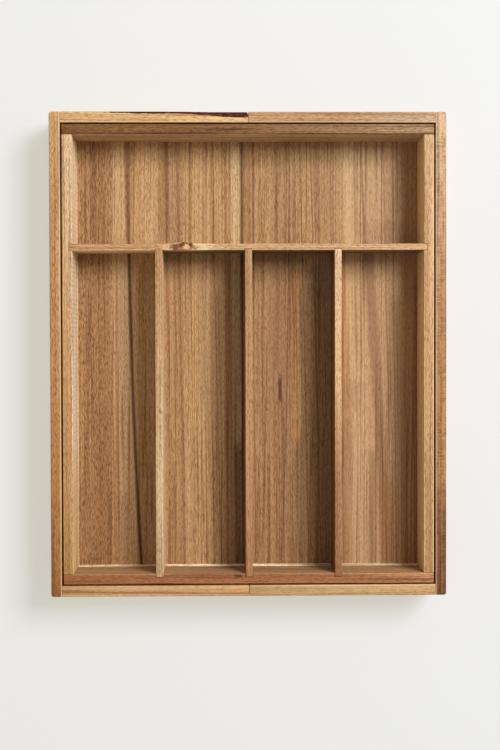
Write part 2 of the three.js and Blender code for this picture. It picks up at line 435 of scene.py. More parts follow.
def paint_knot(grain, colour, centre, half_length, half_width, middle):
    """Paints a knot on a board along X: a red-brown body, a dark lobe, and a pale heart under an arc."""
    wobble = (grain.noise(width=2.2, length=2.6, shift=21) - 0.5) * 1.3
    spread = (grain.y - middle) / half_width
    depth = (TOP - grain.z) / KNOT_DEPTH

    def ring(place, reach):
        along = (grain.x - place) / reach
        return grain.root.maths("SQRT", along * along + spread * spread + depth * depth) + wobble

    body = ring(centre, half_length)
    colour = colour.blend(KNOT_RIM, body.fall(1.0, 1.9) * 0.5)
    colour = colour.blend(KNOT_BODY, body.fall(0.75, 1.1) * 0.85)
    lobe = ring(centre + LOBE_PLACE * half_length, LOBE_REACH * half_length)
    colour = colour.blend(KNOT_LOBE, lobe.fall(0.5, 1.1) * 0.85)
    heart = ring(centre + HEART_PLACE * half_length, HEART_REACH * half_length)
    arc = abs(heart - 1.0).fall(0.12, 0.45) * spread.rise(-0.5, 0.2)
    colour = colour.blend(KNOT_ARC, arc * 0.95)
    return colour.blend(KNOT_HEART, heart.fall(0.35, 0.8) * 0.85)


print("a knot reaches", KNOT_DEPTH, "mm down")

# %% Bark on a rail's edge
BARK_EDGE = 215
BARK = tone(66, 26, 14)
BARK_RED = tone(122, 70, 44)
BARK_WIDENING = 40
BARK_RAGGED = 1.68
BARK_SOFTNESS = (-0.25, 0.35)


def bark_on(grain, first, start, end, width):
    """1 on the bark along the outer top edge of a rail along X: a line, then a widening band."""
    ragged = (grain.noise(width=6, length=5, detail=2, shift=23) - 0.5) * BARK_RAGGED
    line = grain.x.rise(first, first + BARK_WIDENING) * 0.9 + 1.0 - grain.x.fall(first - 4, first + 4) * 3
    depth = line + grain.x.rise(start, end) * width + ragged
    inward = (BARK_EDGE - grain.y) + (TOP - grain.z)
    return (depth - inward).rise(*BARK_SOFTNESS)


def paint_bark(grain, colour, bark):
    """Dark bark with red-brown flakes."""
    flakes = grain.noise(width=1.5, length=5, detail=2, shift=27).rise(0.5, 0.7)
    colour = colour.blend(BARK, bark_on(grain, **bark))
    return colour.blend(BARK_RED, bark_on(grain, **bark) * flakes * 0.7)


print("the bark lies at y =", BARK_EDGE, "and z =", TOP)

# %% [markdown]
# ## One wood material for each board
# Each board comes from its own plank, so each gets its own material. Bump from the same fibres and
# pores lets the light catch them. The finish is a thin matt oil, so the roughness stays high and
# varies a little.

# %% The wood recipe
GAIN = (1.13, 1.15, 1.155)
MATT = 0.5
FIBRE_MATT = 0.18
PORE_MATT = 0.1
PORE_DEPTH = 0.8
BUMP = {"Strength": 0.3, "Distance": 0.2 * MM}


def wood(name, along, tones, across=False, seed=1, wander=2.0, lean=0.0, bands=0.4, lines=0.6,
         strokes=0.55, pores=0.65, chatter=0.0, streaks=(), skins=(), knot=None, sapwood=None,
         dense=None, bark=None, rungs=None, worn_and_highlit=(), shine=0.22):
    """Makes the material of one board. tones are (place in mm, colour) along it or across it."""
    material = bpy.data.materials.new(name)
    material.use_nodes = True
    tree = material.node_tree
    tree.nodes.clear()
    grain = Grain(tree, along, seed, wander)
    add = grain.root.node

    colour = lay_tones(grain, tones, across, lean)
    colour = paint_skins(grain, colour, skins)
    if sapwood:
        colour = paint_sapwood(grain, colour, **sapwood)
    colour = paint_streaks(grain, colour, streaks)
    colour = paint_growth(grain, colour, bands, lines)
    colour, hair, pore = paint_fibres(grain, colour, strokes, pores, dense)
    if chatter:
        colour = mark_chatter(grain, colour, chatter)
    if rungs:
        colour = mark_rungs(grain, colour, **rungs)
    # Pale top edges: rubbed wood and a painted highlight.
    colour = pale_arrises(grain, colour, worn_and_highlit)
    if knot:
        colour = paint_knot(grain, colour, **knot)
    if bark:
        colour = paint_bark(grain, colour, bark)
    colour = add("ShaderNodeVectorMath", {"operation": "MULTIPLY"}, {0: colour, 1: GAIN})

    normal = add("ShaderNodeBump", sockets={**BUMP, "Height": hair - pore * PORE_DEPTH})
    sockets = {"Base Color": colour, "Roughness": MATT + hair * FIBRE_MATT + pore * PORE_MATT}
    sockets.update({"Normal": normal, "Specular IOR Level": shine})
    shader = add("ShaderNodeBsdfPrincipled", sockets=sockets)
    add("ShaderNodeOutputMaterial", sockets={"Surface": shader})
    return material


print("bump", BUMP)

# %% [markdown]
# ## The tones of each board
# The tray's back wall is dark heartwood, its side walls are pale, and the wings mix both. One brown for
# all would be quicker, but the boards differ more from each other than along their own length. Written
# out board by board, the tones are easy to compare with the real thing.

# %% Tones by name
HONEY = tone(187, 147, 102)
TAN = tone(204, 169, 127)
DUN = tone(192, 156, 117)
RUSSET = tone(160, 120, 82)
OLIVE = tone(176, 137, 95)
GLUE = tone(150, 110, 74)
BLOND = tone(198, 157, 110)
SADDLE = tone(172, 130, 88)
# A warm tint over the front compartments' floor, standing in for the warmer light in their shade.
WARM_SHADE_TINT = tone(160, 92, 32)
MID_BROWN = tone(132, 92, 60)
DARK_BROWN = tone(84, 54, 34)


def even(red, green, blue):
    """The same tone all along a board."""
    return [(-220, tone(red, green, blue)), (220, tone(red, green, blue))]


print("an even board runs from", even(0, 0, 0)[0][0], "to", even(0, 0, 0)[1][0])

# %% [markdown]
# ## The floor
# The floor shows the most wood, in two boards that meet at a dark glue line, with broad bands from
# front to back. The bands could come from noise alone, but a floor is known by its few dark lines. So
# its tones are laid across it place by place, and each line or shade that stands out is a streak. Some
# run the whole length, others stop short or stay in the back compartment.

# %% Bands and streaks of the left floor board
left_floor_bands = [
    (-160, HONEY), (-152, OLIVE), (-145, OLIVE), (-138, SADDLE), (-128, SADDLE),
    (-124, HONEY), (-107, HONEY), (-103, BLOND), (-98, BLOND), (-92, BLOND), (-84, BLOND),
    (-76, HONEY), (-68, HONEY), (-61, OLIVE), (-56, BLOND), (-46, BLOND), (-40, BLOND),
    (-25, BLOND), (-15, HONEY), (-13, CREAM), (-7, CREAM), (-5, GLUE), (-4, GLUE),
]
left_floor_streaks = [
    # The first two streaks lay the warm tint over the front compartments: painted warm shade.
    streak(-18, 24, 0.0, 0, 0.16, WARM_SHADE_TINT, -300, 96),
    streak(-138, 34, 0.0, 0, 0.08, WARM_SHADE_TINT, -300, 60),
    streak(-88, 11, 0.0, 0, 0.35, CREAM, 95, 240),
    streak(-106.4, 2.6, 0.029, 7e-5, 0.85, MID_BROWN),
    streak(-106.4, 1.3, 0.029, 7e-5, 0.75, DARK_BROWN, -240, 110),
    streak(-108, 2.4, 0.02, 0, 0.65, MID_BROWN, 92, 240),
    streak(-147.5, 1.2, 0.012, 0, 0.2),
    streak(-72.4, 3.6, 0.01, 0, 0.6, MID_BROWN, 95, 240),
    streak(-71.5, 2.6, 0.0, 0, 0.25, MID_BROWN, -240, -60),
    streak(-50.5, 3.5, 0.0, 0, 0.3, MID_BROWN, -240, -60),
    streak(-61.3, 1.9, 0.016, 0, 0.38, MID_BROWN),
    streak(-51.2, 0.9, 0.012, 0, 0.15),
    streak(-39.4, 1.0, 0.006, 0, 0.3),
    streak(-30, 8, 0.0, 0, 0.2, MID_BROWN, -230, 60),
    streak(-28.4, 1.0, 0.018, 0, 0.5),
    streak(-25.2, 0.8, 0.006, 0, 0.35, first=-230, last=30),
    streak(-19.5, 1.5, 0.004, 0, 0.4, MID_BROWN),
    streak(-42, 3.0, 0.0, 0, 0.3, MID_BROWN, -60, 90),
    streak(-133, 9, 0.0, 0, 0.25, MID_BROWN, -260, -40),
    streak(-141, 6, 0.0, 0, 0.3, MID_BROWN, 96, 240),
    streak(-112, 1.0, 0.03, 0, 0.35, RUSSET, -230, -60),
    streak(-9, 6, 0.0, 0, 0.75, tone(120, 82, 56), -215, -75),
    streak(-28, 7, 0.0, 0, 0.2, MID_BROWN, -230, 70),
    # This streak lightens the floor beside the left divider, in its shadow: painted light thrown back
    # from the divider.
    streak(-86, 6, 0.0, 0, 0.35, TAN, -60, 80),
    streak(-78, 4, 0.0, 0, 0.35, MID_BROWN, 95, 240),
    streak(-148, 14, 0.0, 0, 0.25, MID_BROWN, -260, -110),
    streak(-116, 11, 0.0, 0, 0.35, MID_BROWN, -260, -120),
    streak(-5, 1.0, 0.003, 0, 0.8, DARK_BROWN),
]
print("left floor board", len(left_floor_bands), "bands", len(left_floor_streaks), "streaks")

# %% Bands and streaks of the right floor board
right_floor_bands = [
    (-4, GLUE), (-2, SADDLE), (3, OLIVE), (8, HONEY), (20, HONEY), (28, OLIVE), (38, OLIVE),
    (50, HONEY), (66, HONEY), (78, OLIVE), (87, OLIVE), (91, BLOND), (94, TAN), (98, TAN),
    # From 138 mm the tone darkens towards the right wall: painted shade where the wall's shadow falls.
    (108, TAN), (112, DUN), (126, DUN), (138, DUN), (148, OLIVE), (160, OLIVE),
]
right_floor_streaks = [
    # The first streak lays the warm tint over the front compartments: painted warm shade.
    streak(78, 300, 0.0, 0, 0.09, WARM_SHADE_TINT, -300, 96),
    streak(85, 9, 0.0, 0, 0.3, CREAM, 95, 240),
    # This streak darkens the floor beside the cross divider on the right: painted shade.
    streak(128, 30, 0.0, 0, 0.28, MID_BROWN, 86, 128),
    streak(24, 6, 0.0, 0, 0.15, MID_BROWN, -90, 60),
    streak(38, 3, 0.0, 0, 0.3, MID_BROWN, -230, -90),
    streak(5.6, 1.6, 0.004, 0, 0.6, first=40, last=240),
    streak(5.6, 1.2, 0.004, 0, 0.3, first=-240, last=60),
    streak(18, 1.0, -0.03, 0, 0.45, first=-230, last=20),
    streak(27.6, 1.0, 0.006, 0, 0.35, first=30, last=230),
    streak(29.4, 2.3, 0.004, 0, 0.95, tone(76, 42, 36), -50, -14),
    streak(26.8, 3.0, -0.03, 0, 0.35, tone(120, 84, 58), -20, 80),
    streak(34, 40, 0.0, 0, 0.2, MID_BROWN, -300, 110),
    streak(57, 22, 0.03, 0, 0.36, tone(122, 86, 56), -330, 90),
    streak(36.5, 1.0, -0.02, -6e-5, 0.6),
    streak(44.6, 0.9, 0.008, 0, 0.5),
    streak(52, 0.9, 0.022, 0, 0.6),
    streak(62.5, 0.9, 0.026, 0, 0.55),
    streak(48.4, 1.2, -0.006, -5e-5, 0.15, PALE, -230, 120),
    streak(111.5, 1.6, 0.04, 0, 0.6, first=98, last=240),
    streak(91, 8, 0.0, 0, 0.3, MID_BROWN, -240, -50),
    streak(114.5, 4.5, 0.0, 0, 0.5, MID_BROWN, -240, -80),
    streak(46, 6, 0.0, 0, 0.3, MID_BROWN, -240, -60),
    streak(117, 7, 0.062, 0, 0.62, MID_BROWN, -260, 110),
    streak(104, 5, 0.03, 0, 0.1, MID_BROWN, -260, 110),
    streak(137, 9, 0.02, 0, 0.35, tone(124, 84, 48), -300, 60),
    streak(119, 1.1, 0.05, 0, 0.45, tone(120, 80, 54), -230, -50),
    streak(128.6, 0.9, 0.022, 0, 0.4),
    streak(135, 0.9, 0.01, 0, 0.4),
    streak(99, 0.8, 0.02, 0, 0.3, first=-230, last=-20),
    streak(103, 3.5, 0.02, 0, 0.35, MID_BROWN, 95, 240),
    streak(63.5, 3.5, 0.0, 0, 0.4, MID_BROWN, 95, 240),
    streak(45, 6, 0.0, 0, 0.4, tone(204, 150, 92), -90, 90),
    streak(9.5, 3.0, 0.0, 0, 0.5, TAN, -220, -60),
    streak(96, 14, 0.0, 0, 0.25, MID_BROWN, -58, -18),
    streak(126, 10, 0.0, 0, 0.25, MID_BROWN, -260, -110),
    streak(131, 16, 0.0, 0, 0.35, tone(160, 108, 56), -260, -108),
    # The last streak darkens the floor at the right wall's foot: painted shade.
    streak(157, 6, 0.0, 0, 0.6, MID_BROWN, -230, 80),
]
print("right floor board", len(right_floor_bands), "bands", len(right_floor_streaks), "streaks")

# %% Wood for the floor
woods = {
    "tray_floor_left": wood(
        "acacia_floor_left", "Y", left_floor_bands, across=True, seed=1, wander=1.0, lean=0.008,
        bands=0.2, streaks=left_floor_streaks, dense=(-165, -125, 0.4),
        sapwood=dict(edge=-123.4, place=-107.4, slant=0.026, bend=7.5e-5, strength=0.44, gain=0.0016)),
    "tray_floor_right": wood(
        "acacia_floor_right", "Y", right_floor_bands, across=True, seed=2, wander=1.0, lean=0.015,
        bands=0.2, streaks=right_floor_streaks, dense=(88, 165, -0.3)),
}
print("floor materials", len(woods))

# %% [markdown]
# ## Walls, dividers and wings
# Seen from above, a wall shows its top edge and a sliver of its inner face, which is often paler or
# darker. A second material on that face would leave a hard border along the eased edge. Instead a skin
# a few tenths of a millimetre thick gives the face its own tone within the one material. On faces
# turned from the light, some dark skins are painted shade.

# %% Places of the faces, in millimetres
INNER_X, INNER_Y = 156, 195
OUTER_X = 165
WING_INNER_X, WING_INNER_Y = 166.5, 205.5
CROSS_FRONT_Y = 92.5
print("the gap beside the tray is", WING_INNER_X - OUTER_X, "mm")

# %% Wood for the tray's walls
woods.update({
    "tray_back_wall": wood(
        "acacia_back_wall", "X",
        [(-165, tone(142, 99, 56)), (-60, tone(138, 95, 55)), (0, tone(144, 102, 64)),
         (80, tone(160, 120, 84)), (165, tone(180, 146, 110))],
        seed=3, strokes=0.7, lines=0.8,
        # The first skin darkens the inner top edge as painted shade; the second paints the inner face
        # pale.
        skins=[skin("y", INNER_Y + 1.3, INNER_Y + 0.9, 0.85, tone(106, 66, 34)),
               skin("y", INNER_Y + 0.3, INNER_Y + 0.15, 0.95, tone(224, 190, 146))]),
    "tray_front_wall": wood(
        "acacia_front_wall", "X",
        [(-165, tone(168, 108, 66)), (0, tone(170, 110, 70)), (165, tone(194, 136, 92))],
        seed=4,
        streaks=[streak(-197.6, 2.0, 0.01, 0, 0.35, tone(136, 70, 42), -62, -2),
                 streak(-196.4, 1.8, 0, 0, 0.9, DARK_BROWN, -15, -4)],
        skins=[skin("y", -INNER_Y - 0.7, -INNER_Y - 0.2, 0.9, tone(190, 156, 114)),
               skin("y", -INNER_Y + 0.05, -INNER_Y + 0.4, 1.0, tone(240, 218, 186))]),
    "tray_left_wall": wood(
        "acacia_left_wall", "Y",
        [(-195, tone(198, 146, 88)), (0, tone(214, 170, 120)), (195, tone(234, 200, 156))],
        seed=5, rungs=dict(first=-INNER_X - 0.5, last=-150, period=4.1, strength=0.25),
        skins=[skin("x", -INNER_X - 0.9, -INNER_X - 0.4, 0.8, tone(244, 208, 160)),
               skin("x", -INNER_X - 0.9, -INNER_X - 0.4, 0.8, tone(252, 230, 196), -150, 90)]),
    "tray_right_wall": wood(
        "acacia_right_wall", "Y",
        [(-195, tone(196, 151, 98)), (-60, tone(208, 164, 114)), (60, tone(214, 170, 122)),
         (195, tone(220, 182, 142))],
        # The pale outer top edge is a painted highlight.
        seed=6, worn_and_highlit=[("x", OUTER_X, -1)],
        skins=[skin("x", INNER_X + 0.9, INNER_X + 0.4, 0.95, tone(254, 222, 164))]),
})
print("floor and wall materials", len(woods))

# %% Wood for the dividers and runners
woods.update({
    "cross_divider": wood(
        "acacia_cross_divider", "X",
        [(-160, tone(212, 162, 118)), (-70, tone(218, 172, 125)), (-48, tone(236, 204, 154)),
         (-40, tone(246, 220, 176)), (-30, tone(236, 200, 152)), (-20, tone(226, 186, 140)),
         (160, tone(222, 178, 138))],
        seed=7, knot=dict(centre=-57.2, half_length=13.5, half_width=3.6, middle=95.6),
        # The front face is painted pale, then from x = -84 on darkened as painted shade.
        skins=[skin("y", CROSS_FRONT_Y + 0.6, CROSS_FRONT_Y + 0.3, 0.9, tone(255, 226, 180)),
               skin("y", CROSS_FRONT_Y + 0.6, CROSS_FRONT_Y + 0.3, 0.9, tone(112, 78, 50), -84, 5)]),
    "long_divider_left": wood(
        "acacia_divider_left", "Y",
        [(-200, tone(222, 188, 146)), (-40, tone(228, 194, 150)), (94, tone(210, 166, 120))],
        seed=8, skins=[skin("x", -76.9, -76.5, 0.8, tone(250, 224, 190))]),
    "long_divider_middle": wood(
        "acacia_divider_middle", "Y",
        [(-200, tone(180, 130, 90)), (-80, tone(200, 150, 110)), (94, tone(200, 158, 116))],
        # The dark skin on the left face is painted shade.
        seed=9, skins=[skin("x", -2.5, -2.9, 0.7, tone(120, 82, 50))]),
    "long_divider_right": wood(
        "acacia_divider_right", "Y",
        [(-200, tone(160, 112, 74)), (-110, tone(178, 130, 90)), (-20, tone(226, 184, 138)),
         (94, tone(230, 194, 154))],
        # The dark skin on the left face is painted shade.
        seed=10, skins=[skin("x", 76.9, 76.5, 0.9, tone(122, 78, 42))]),
    "runner": wood("acacia_runner", "X", even(184, 138, 94), seed=11),
})
print("tray materials", len(woods))

# %% Wood for the wings
woods.update({
    "left_wing_side_wall": wood(
        "acacia_left_wing_wall", "Y",
        [(-215, tone(162, 106, 56)), (-120, tone(194, 140, 86)), (215, tone(218, 172, 120))],
        seed=12, strokes=0.7, lines=0.45, worn_and_highlit=[("x", -WING_INNER_X, -1)]),
    "right_wing_side_wall": wood(
        "acacia_right_wing_wall", "Y",
        [(-215, tone(126, 80, 50)), (-140, tone(142, 94, 60)), (-110, tone(182, 134, 86)),
         (0, tone(192, 144, 98)), (80, tone(200, 154, 112)), (215, tone(220, 184, 148))],
        seed=13, chatter=0.6, strokes=0.3, worn_and_highlit=[("x", WING_INNER_X, 1)],
        streaks=[streak(172.2, 1.8, 0, 0, 0.2, tone(176, 142, 114)),
                 streak(168.4, 1.4, 0, 0, 0.15, tone(186, 130, 76))]),
    "left_wing_back_rail": wood(
        "acacia_left_back_rail", "X", even(231, 189, 137),
        seed=14, bark=dict(first=-125, start=-64, end=-6, width=3.3), shine=0.1,
        worn_and_highlit=[("y", WING_INNER_Y, 1)],
        streaks=[streak(211, 1.7, 0.012, 0, 0.55, tone(190, 122, 58), -78, -8),
                 streak(208.5, 1.0, -0.02, 0, 0.45, tone(190, 122, 58), -110, -60)]),
    "left_wing_front_rail": wood(
        "acacia_left_front_rail", "X",
        [(-165, tone(212, 168, 118)), (0, tone(218, 174, 122))],
        seed=15, strokes=0.35, pores=0.45),
    "right_wing_back_rail": wood(
        "acacia_right_back_rail", "X",
        [(0, tone(208, 168, 124)), (80, tone(196, 156, 116)), (165, tone(208, 175, 145))],
        seed=16, worn_and_highlit=[("y", WING_INNER_Y, 1)]),
    "right_wing_front_rail": wood(
        "acacia_right_front_rail", "X",
        [(0, tone(200, 160, 110)), (80, tone(208, 170, 122)), (165, tone(200, 160, 110))],
        seed=17, strokes=0.4, pores=0.5, worn_and_highlit=[("y", -WING_INNER_Y, -1)]),
    "wing_floor": wood("acacia_wing_floor", "Y", even(192, 148, 102), seed=18),
})
print("all materials", len(woods))

# %% [markdown]
# ## Boards with eased edges
# A real board is a sawn block whose sharp edges a few strokes of sandpaper have taken off, and whose
# faces are never perfectly flat. Each board starts as a block the size of its CAD node. Its edges are
# bevelled, cuts across its length give it points to move, and a weak displacement makes it a little
# uneven. Grooves and housings are then cut where its neighbours enter it.

# %% A block between two corners
def block(low, high, name):
    """A block between two corners, with its place and size in its mesh."""
    bpy.ops.object.select_all(action="DESELECT")
    bpy.ops.mesh.primitive_cube_add(size=1, location=(low + high) / 2)
    piece = bpy.context.object
    piece.name = name
    piece.data.name = name
    piece.scale = high - low
    bpy.ops.object.transform_apply(location=True, rotation=False, scale=True)
    return piece


def apply_all(piece):
    """Applies the piece's modifiers in order."""
    bpy.context.view_layer.objects.active = piece
    for modifier in list(piece.modifiers):
        bpy.ops.object.modifier_apply(modifier=modifier.name)


print("block helpers ready")

# %% Cuts and moves in edit mode
X_AXIS, Y_AXIS, Z_AXIS = 0, 1, 2
CLOSE = 0.05 * MM


def near(a, b, reach=CLOSE):
    """Whether two places are the same but for rounding."""
    return abs(a - b) < reach


def slice_at(axis, place):
    """Cuts the whole mesh in edit mode with a plane across one axis."""
    point, normal = Vector((0, 0, 0)), Vector((0, 0, 0))
    point[axis] = place
    normal[axis] = 1
    bpy.ops.mesh.select_all(action="SELECT")
    bpy.ops.mesh.bisect(plane_co=point, plane_no=normal)


def move_vertices(piece, chosen, step):
    """Moves the vertices that chosen(place) picks, in edit mode."""
    mesh = bmesh.from_edit_mesh(piece.data)
    bpy.ops.mesh.select_all(action="DESELECT")
    for vertex in mesh.verts:
        vertex.select_set(chosen(vertex.co))
    mesh.select_flush_mode()
    bpy.ops.transform.translate(value=step)


print("two places are the same within", CLOSE / MM, "mm")

# %% Rounded and eased edges, and cuts across the length
EASE = 0.75 * MM
EASE_STEPS = 3
UPRIGHT_STEPS = 5
STATION = 18 * MM
SHARP = math.radians(60)


def round_upright(piece, x, y, radius):
    """Rounds one upright corner edge of a block. It works in edit mode."""
    mesh = bmesh.from_edit_mesh(piece.data)
    for edge in mesh.edges:
        ends = [vertex.co for vertex in edge.verts]
        edge.select_set(all(near(end.x, x) and near(end.y, y) for end in ends))
    mesh.select_flush_mode()
    bpy.ops.mesh.bevel(offset=radius, segments=UPRIGHT_STEPS, profile=0.5)


def ease_and_station(piece, low, high, rounded):
    """Rounds and bevels the edges, then cuts across the length at even stations."""
    axis = X_AXIS if high.x - low.x > high.y - low.y else Y_AXIS
    count = round((high[axis] - low[axis]) / STATION)
    bpy.ops.object.mode_set(mode="EDIT")
    bpy.ops.mesh.select_mode(type="EDGE")
    for x, y, radius in rounded:
        round_upright(piece, x * MM, y * MM, radius * MM)
    mesh = bmesh.from_edit_mesh(piece.data)
    for edge in mesh.edges:
        edge.select_set(edge.calc_face_angle(0) > SHARP)
    mesh.select_flush_mode()
    bpy.ops.mesh.bevel(offset=EASE, segments=EASE_STEPS, profile=0.5)
    bpy.ops.mesh.select_mode(type="VERT")
    for number in range(1, count):
        slice_at(axis, low[axis] + (high[axis] - low[axis]) * number / count)
    bpy.ops.object.mode_set(mode="OBJECT")


print("edges are eased by", EASE / MM, "mm")

# %% [markdown]
# ## Joints
# Housings hold the dividers, and long grooves with a half-round end take the runners. They could be
# built into each board face by face. A boolean takes away a block instead, rounded at one end for a
# groove, because that is the cut a chisel or a round cutter makes.

# %% Cut housings and grooves
FIT = 0.125 * MM
FIT_ALL_ROUND = Vector((FIT, FIT, FIT))
ROUND_SHARE = 0.98
ROUND_STEPS = 6


def cut(piece, low, high, closed_end=None):
    """Takes a box away from the piece, or a groove with a half-round closed end."""
    tool = block(low, high, "cutting_tool")
    if closed_end is not None:
        bpy.ops.object.mode_set(mode="EDIT")
        bpy.ops.mesh.select_mode(type="EDGE")
        mesh = bmesh.from_edit_mesh(tool.data)
        for edge in mesh.edges:
            ends = [vertex.co for vertex in edge.verts]
            level = near(ends[0].z, ends[1].z)
            edge.select_set(level and all(near(end.x, closed_end) for end in ends))
        mesh.select_flush_mode()
        radius = (high.z - low.z) / 2 * ROUND_SHARE
        bpy.ops.mesh.bevel(offset=radius, segments=ROUND_STEPS, profile=0.5)
        bpy.ops.object.mode_set(mode="OBJECT")
    step = piece.modifiers.new("cut", "BOOLEAN")
    step.operation = "DIFFERENCE"
    step.object = tool
    apply_all(piece)
    bpy.data.objects.remove(tool)


print("joints leave", FIT / MM, "mm")

# %% [markdown]
# ## The shapes of one tray
# Three inner walls end in a small pale slope at the floor, the cross divider swells beside its knot,
# and one rail keeps the slope where the log's bark began. Slivers of wood could be laid over the
# boards there, but their seams would show. So a few points of the boards themselves are moved.

# %% A sloping foot and a swollen top
FOOT_TOP = 12.8 * MM
FOOT_LEVEL = 11.0 * MM
FOOT_BASE = 10.9 * MM
FOOT_GRIP = 0.03 * MM
SWELL_FOOT = 36 * MM
SWELL_SKIN = 0.8


def add_foot(piece, axis, face, inward, reach):
    """Draws the foot of an inner face out into a small slope that meets the floor."""
    bpy.ops.object.mode_set(mode="EDIT")
    for level in (FOOT_TOP, FOOT_LEVEL, FOOT_BASE):
        slice_at(Z_AXIS, level)
    step = Vector((0, 0, 0))
    step[axis] = inward * reach
    move_vertices(
        piece,
        lambda spot: near(spot.z, FOOT_LEVEL, FOOT_GRIP) and near(spot[axis], face * MM),
        step)
    bpy.ops.object.mode_set(mode="OBJECT")


def swell(piece, centre, half_length, height, face):
    """Swells the top of one long face of a board that runs along X, over a short length."""
    bpy.ops.object.mode_set(mode="EDIT")
    bpy.ops.mesh.select_mode(type="VERT")
    slice_at(Z_AXIS, SWELL_FOOT)
    for number in range(-3, 4):
        place = (centre + half_length * number / 4) * MM
        slice_at(X_AXIS, place)
        rise = height * math.cos(math.pi / 8 * number) ** 2

        def on_top(spot):
            high = spot.z > SWELL_FOOT * 1.01
            return high and near(spot.x, place) and spot.y > (face - SWELL_SKIN) * MM

        move_vertices(piece, on_top, (0, rise * MM, 0))
    bpy.ops.object.mode_set(mode="OBJECT")


print("feet begin", FOOT_TOP / MM, "mm up")

# %% The slope under the bark
WANE_CUTS = 24
WANE_REACH = 3.4
WANE_WAVES = ((0.35, 0.9, 0), (0.25, 0.37, 1))


def wane(piece, start, end, width):
    """Takes the outer top edge of a rail down in a ragged slope, as where a log's bark began."""
    bpy.ops.object.mode_set(mode="EDIT")
    bpy.ops.mesh.select_mode(type="VERT")
    for number in range(1, WANE_CUTS):
        place = start + (end - start) * number / WANE_CUTS
        slice_at(X_AXIS, place * MM)
    slice_at(Y_AXIS, (BARK_EDGE - WANE_REACH) * MM)
    slice_at(Z_AXIS, (TOP - WANE_REACH) * MM)
    mesh = bmesh.from_edit_mesh(piece.data)
    for vertex in mesh.verts:
        spot = vertex.co / MM
        share = min(max((spot.x - start) / (end - start), 0), 1)
        ragged = sum(size * math.sin(turn * spot.x + shift) for size, turn, shift in WANE_WAVES)
        depth = (width * share + ragged * (0.2 + share)) * (share > 0)
        over = spot.y + spot.z - (BARK_EDGE + TOP) + depth
        if over > 0:
            vertex.co -= Vector((0, over / 2, over / 2)) * MM
    bmesh.update_edit_mesh(piece.data)
    bpy.ops.object.mode_set(mode="OBJECT")


print("the bark's slope has", WANE_CUTS, "lengths")

# %% [markdown]
# ## From block to finished board
# All fourteen boards go the same way, so one function makes them: the block, its edges, its own small
# shapes, the unevenness, the cuts and the wood. Each could have a cell of its own, but then a change
# to the easing would have to be made fourteen times.

# %% One board from start to finish
UNEVEN = 0.25 * MM
SMOOTH = math.radians(35)

planing = bpy.data.textures.new("planing", "CLOUDS")
planing.noise_scale = 60 * MM
planing.noise_depth = 1


def board(node, body, entering=(), rounded=(), foot=None, swollen=None, waned=None, groove=None,
          seam=0):
    """A board in place of a CAD node, cut where the boards named in entering go into it.

    rounded lists upright corners as (x, y, radius) in millimetres. seam is how far a rail reaches on
    towards the tray's middle, with the sign of its side."""
    low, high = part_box(node)
    if seam < 0:
        high.x -= seam * MM
    if seam > 0:
        low.x -= seam * MM
    piece = block(low, high, node + "_board")
    ease_and_station(piece, low, high, rounded)
    if foot:
        add_foot(piece, **foot)
    if swollen:
        swell(piece, **swollen)
    if waned:
        wane(piece, **waned)
    waves = piece.modifiers.new("uneven", "DISPLACE")
    waves.texture = planing
    waves.texture_coords = "LOCAL"
    waves.mid_level = 0.5
    waves.strength = UNEVEN
    apply_all(piece)
    for neighbour in entering:
        inner_low, inner_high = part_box(neighbour)
        cut(piece, inner_low - FIT_ALL_ROUND, inner_high + FIT_ALL_ROUND)
    if groove:
        cut(piece, **groove)
    bpy.ops.object.select_all(action="DESELECT")
    piece.select_set(True)
    bpy.context.view_layer.objects.active = piece
    bpy.ops.object.shade_smooth_by_angle(angle=SMOOTH)
    piece.data.materials.clear()
    piece.data.materials.append(woods[node])
    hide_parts(node)
    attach(piece, body)
    return piece


print("faces are uneven by up to", UNEVEN / MM / 2, "mm")

# %% Make the tray's boards
DIVIDERS = ["long_divider_left", "long_divider_middle", "long_divider_right"]
FLOORS = ["tray_floor_left_board", "tray_floor_right_board"]
CROSS_BACK_Y = 98.5

boards = [
    board("tray_back_wall", "tray",
          FLOORS + ["runner_back_left", "runner_back_right"],
          foot=dict(axis=Y_AXIS, face=INNER_Y, inward=-1, reach=0.5 * MM)),
    board("tray_front_wall", "tray",
          FLOORS + DIVIDERS + ["runner_front_left", "runner_front_right"],
          foot=dict(axis=Y_AXIS, face=-INNER_Y, inward=1, reach=2.2 * MM)),
    board("tray_left_wall", "tray", [FLOORS[0], "cross_divider"],
          foot=dict(axis=X_AXIS, face=-INNER_X, inward=1, reach=0.8 * MM)),
    board("tray_right_wall", "tray", [FLOORS[1], "cross_divider"]),
    board("cross_divider", "tray", DIVIDERS,
          swollen=dict(centre=-58.4, half_length=14, height=0.75, face=CROSS_BACK_Y)),
]
boards += [board(node, "tray") for node in DIVIDERS]
print("tray boards", len(boards))

